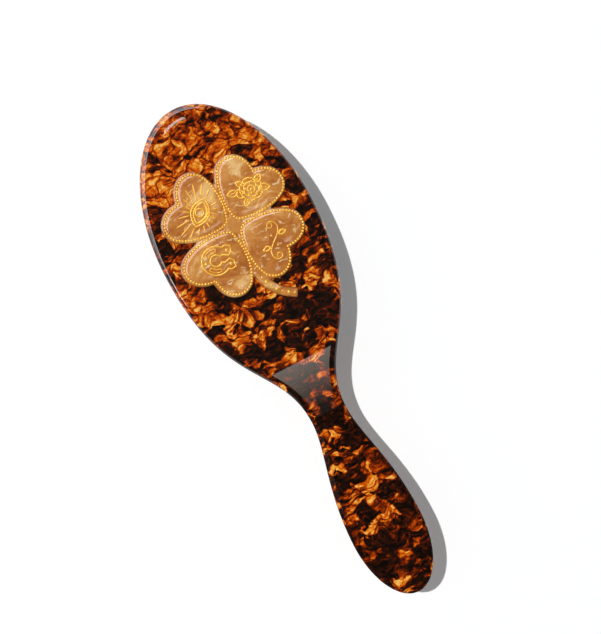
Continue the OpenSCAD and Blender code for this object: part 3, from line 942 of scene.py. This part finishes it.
def pearl(name):
    """Tan-gold pearl acetate: cloudy patches, pale pearl flecks that are partly painted glints, and a
    browner edge that is partly dark acetate showing through and partly painted shade.
    """
    paint = Paint(name)
    place = paint.mapped(paint.place, shift=(-29, 11, 0))
    bent = paint.shifted(place, paint.warp(place, 0.12), 9.0)
    patches = paint.cells(paint.mapped(bent, (0, 0, 20), (1, 0.55, 1)), 0.16, "SMOOTH_F1")
    clouds = paint.noise(paint.mapped(bent, (0, 0, -40), (1, 0.6, 1)), 0.22, 4, 0.6, 0.8)
    glow = paint.weigh((patches, 0.32), (clouds, 0.84))
    colour = paint.ramp(glow, [(0.36, srgb(172, 98, 40)), (0.52, srgb(193, 122, 54)),
                               (0.66, srgb(210, 143, 71)), (0.80, srgb(236, 190, 122))])
    # Pale pearl flecks: partly the acetate's own, partly painted glints
    flakes_and_glints = paint.mapped(bent, (0, 0, 70), (1, 0.45, 1), (5, 9, 0))
    flakes_and_glints = paint.ramp(paint.noise(flakes_and_glints, 0.42, 2, 0.5, 1.2), [(0.6, 0.0), (0.72, 0.85)])
    colour = paint.mix(flakes_and_glints, colour, srgb(243, 214, 160))
    # Darker brown down the plate's rounded edge and wall: partly the dark acetate showing through the
    # thin plate, partly painted shade
    below = paint.math("SUBTRACT", LEAF_Z - 0.12, paint.axis(2))
    edge = paint.math("DIVIDE", below, PLATE_EDGE_R * 0.8)
    edge = paint.math("MULTIPLY", edge, 0.85, clamp=True)
    colour = paint.mix(edge, colour, srgb(84, 42, 22))
    return paint.set(Base_Color=colour, Roughness=0.5, Coat_Weight=0.9, Coat_Roughness=0.06,
                     Coat_IOR=ACETATE_IOR, Specular_IOR_Level=0.1)


def gilt(name):
    """Bright yellow gilt with a slightly uneven tone."""
    paint = Paint(name)
    tone = paint.noise(paint.place, 1.4, 2)
    colour = paint.ramp(tone, [(0.3, srgb(250, 182, 44)), (0.7, srgb(255, 212, 84))])
    return paint.set(Base_Color=colour, Metallic=0.15, Roughness=0.3, IOR=1.7)


def rubber(name):
    """Matt black rubber with a fine grain."""
    paint = Paint(name)
    grain = paint.noise(paint.place, 5.0, 3, 0.7)
    tone = paint.noise(paint.place, 0.3, 3)
    colour = paint.ramp(tone, [(0.3, srgb(34, 31, 30)), (0.7, srgb(46, 42, 40))])
    paint.bump(grain, 0.25, 0.06)
    return paint.set(Base_Color=colour, Roughness=paint.ramp(grain, [(0.3, 0.55), (0.7, 0.72)]))


def nylon(name):
    """Dark satin nylon, uneven along the pin."""
    paint = Paint(name)
    tone = paint.noise(paint.mapped(paint.place, stretch=(1, 1, 0.2)), 1.2, 3)
    colour = paint.ramp(tone, [(0.3, srgb(26, 18, 14)), (0.7, srgb(46, 32, 24))])
    return paint.set(Base_Color=colour, Roughness=0.3, Coat_Weight=0.4, Coat_Roughness=0.12)


# ---- Stage ----

# The picture's right and up on the floor, the middle of the picture and its width in metres
RIGHT = Vector((0.45399, 0.89101, 0))
UP = Vector((-0.89101, 0.45399, 0))
AIM = Vector((-0.0118, 0.0081, BACK_Z * MM))
VIEW_WIDTH, CAMERA_DISTANCE = 0.25606, 1.4
KEY, SUN_ANGLE, FILL, GLOSSY_FILL = 2.6, 0.8, 0.12, 0.04
PAPER_GLOW = 0.165
# How sunlight travels: for each 31 it falls, it moves 6.8 right and 2.1 down the picture
SUN_TRAVEL = RIGHT * 6.8 - UP * 2.1 + Vector((0, 0, -31))
# Panels seen in the gloss: azimuth, polar, distance, (side, radial) size, radiance and tint
WHITE, WARM = (1, 1, 1), (1, 0.88, 0.78)
PANELS = {
    "left_panel": (150, 60, 1.0, (2.3, 1.15), 4.2, WHITE),
    "left_strip": (150, 37, 1.0, (1.6, 0.2), 3.5, WHITE),
    "low_left_strip": (206, 53, 1.0, (0.09, 0.2), 9, WHITE),
    "neck_panel": (-63, 9.2, 10, (1.0, 0.98), 4.2, WARM),
    "crescent_strip": (125, 8.6, 10, (0.56, 0.23), 9, WHITE)}


def make_camera():
    """Straight above the brush, as in the photo."""
    back = Vector((0, 0, 1))
    right = UP.cross(back).normalized()
    up = back.cross(right)
    data = bpy.data.cameras.new("camera")
    data.sensor_fit, data.sensor_width = "HORIZONTAL", 36
    data.lens = data.sensor_width * CAMERA_DISTANCE / VIEW_WIDTH
    data.clip_start, data.clip_end = 0.01, 50
    camera = bpy.data.objects.new("camera", data)
    turn = Matrix((right, up, back)).transposed().to_4x4()
    camera.matrix_world = Matrix.Translation(AIM + back * CAMERA_DISTANCE) @ turn
    bpy.context.scene.collection.objects.link(camera)
    bpy.context.scene.camera = camera


def make_floor():
    """White paper that glows a little, which keeps its shadow soft grey."""
    mesh = bpy.data.meshes.new("floor")
    half = 4
    corners = [(-half, -half, 0), (half, -half, 0), (half, half, 0), (-half, half, 0)]
    mesh.from_pydata(corners, [], [(0, 1, 2, 3)])
    paint = Paint("floor_paper")
    tone = paint.noise(paint.place, 0.002, 2)
    colour = paint.ramp(tone, [(0.3, srgb(243, 243, 243)), (0.7, srgb(248, 248, 248))])
    paper = paint.set(Base_Color=colour, Roughness=0.9, Emission_Color=(0.92, 0.985, 1, 1),
                      Emission_Strength=PAPER_GLOW)
    # Seen from below, the paper lets the brush show
    nodes = paint.tree.nodes
    either = nodes.new("ShaderNodeMixShader")
    paint.link(nodes.new("ShaderNodeNewGeometry").outputs["Backfacing"], either.inputs[0])
    paint.link(paint.shader.outputs[0], either.inputs[1])
    paint.link(nodes.new("ShaderNodeBsdfTransparent").outputs[0], either.inputs[2])
    paint.link(either.outputs[0], nodes["Material Output"].inputs["Surface"])
    mesh.materials.append(paper)
    floor = bpy.data.objects.new("floor", mesh)
    bpy.context.scene.collection.objects.link(floor)


def aim_at(obj, place, target):
    direction = Vector(target) - Vector(place)
    obj.location = place
    obj.rotation_euler = direction.to_track_quat("-Z", "Y").to_euler()


def add_panel(name, azimuth, polar, distance_m, size, radiance, tint):
    """A soft panel that only shows up in reflections.

    Azimuth runs anticlockwise from the picture's right, polar from straight above, in degrees.
    """
    data = bpy.data.lights.new(name, "AREA")
    data.shape, data.size, data.size_y = "RECTANGLE", *size
    data.energy = radiance * math.pi * size[0] * size[1]
    data.color = tint
    lamp = bpy.data.objects.new(name, data)
    bpy.context.scene.collection.objects.link(lamp)
    a, p = math.radians(azimuth), math.radians(polar)
    out = (RIGHT * math.cos(a) + UP * math.sin(a)) * math.sin(p) + Vector((0, 0, math.cos(p)))
    side = UP * math.cos(a) - RIGHT * math.sin(a)
    turn = Matrix((side, out.cross(side), out)).transposed().to_4x4()
    lamp.matrix_world = Matrix.Translation(AIM + out * distance_m) @ turn
    lamp.visible_camera = False
    lamp.visible_diffuse = False
    lamp.visible_transmission = False


def make_world():
    """An even white fill that reflections see as almost dark."""
    world = bpy.data.worlds.new("studio")
    world.use_nodes = True
    tree = world.node_tree
    path = tree.nodes.new("ShaderNodeLightPath")
    strength = tree.nodes.new("ShaderNodeMapRange")
    strength.inputs["To Min"].default_value = FILL
    strength.inputs["To Max"].default_value = GLOSSY_FILL
    tree.links.new(path.outputs["Is Glossy Ray"], strength.inputs["Value"])
    tree.links.new(strength.outputs[0], tree.nodes["Background"].inputs[1])
    tree.nodes["Background"].inputs[0].default_value = (1, 1, 1, 1)
    bpy.context.scene.world = world


def make_lights():
    """A small hard key from the upper left, and the panels."""
    data = bpy.data.lights.new("key", "SUN")
    data.energy = KEY
    data.angle = math.radians(SUN_ANGLE)
    key = bpy.data.objects.new("key", data)
    bpy.context.scene.collection.objects.link(key)
    key.visible_glossy = False
    aim_at(key, AIM - SUN_TRAVEL * 0.05, AIM)
    for name, panel in PANELS.items():
        add_panel(name, *panel)


# ---- Making ----

tortoise_back = tortoise("tortoise_back", (0, 0, 0))
tortoise_front = tortoise("tortoise_front", (130, 70, 0))
gold = gilt("gilt")
make_back_shell(tortoise_back)
make_front_frame(tortoise_front)
make_cushion(rubber("cushion_rubber"))
pins = nylon("bristle_nylon")
for row in range(1, ROWS + 1):
    make_bristle_row(row, pins)
make_clover_plate(pearl("pearl"))
for leaf_name in LEAVES:
    make_leaf_beads(leaf_name, gold)
make_stem_studs(gold)
make_rose(gold)
make_eye(gold)
make_horseshoe(gold)
make_scroll(gold)
make_camera()
make_floor()
make_world()
make_lights()

scene = bpy.context.scene
scene.view_settings.view_transform = "Standard"
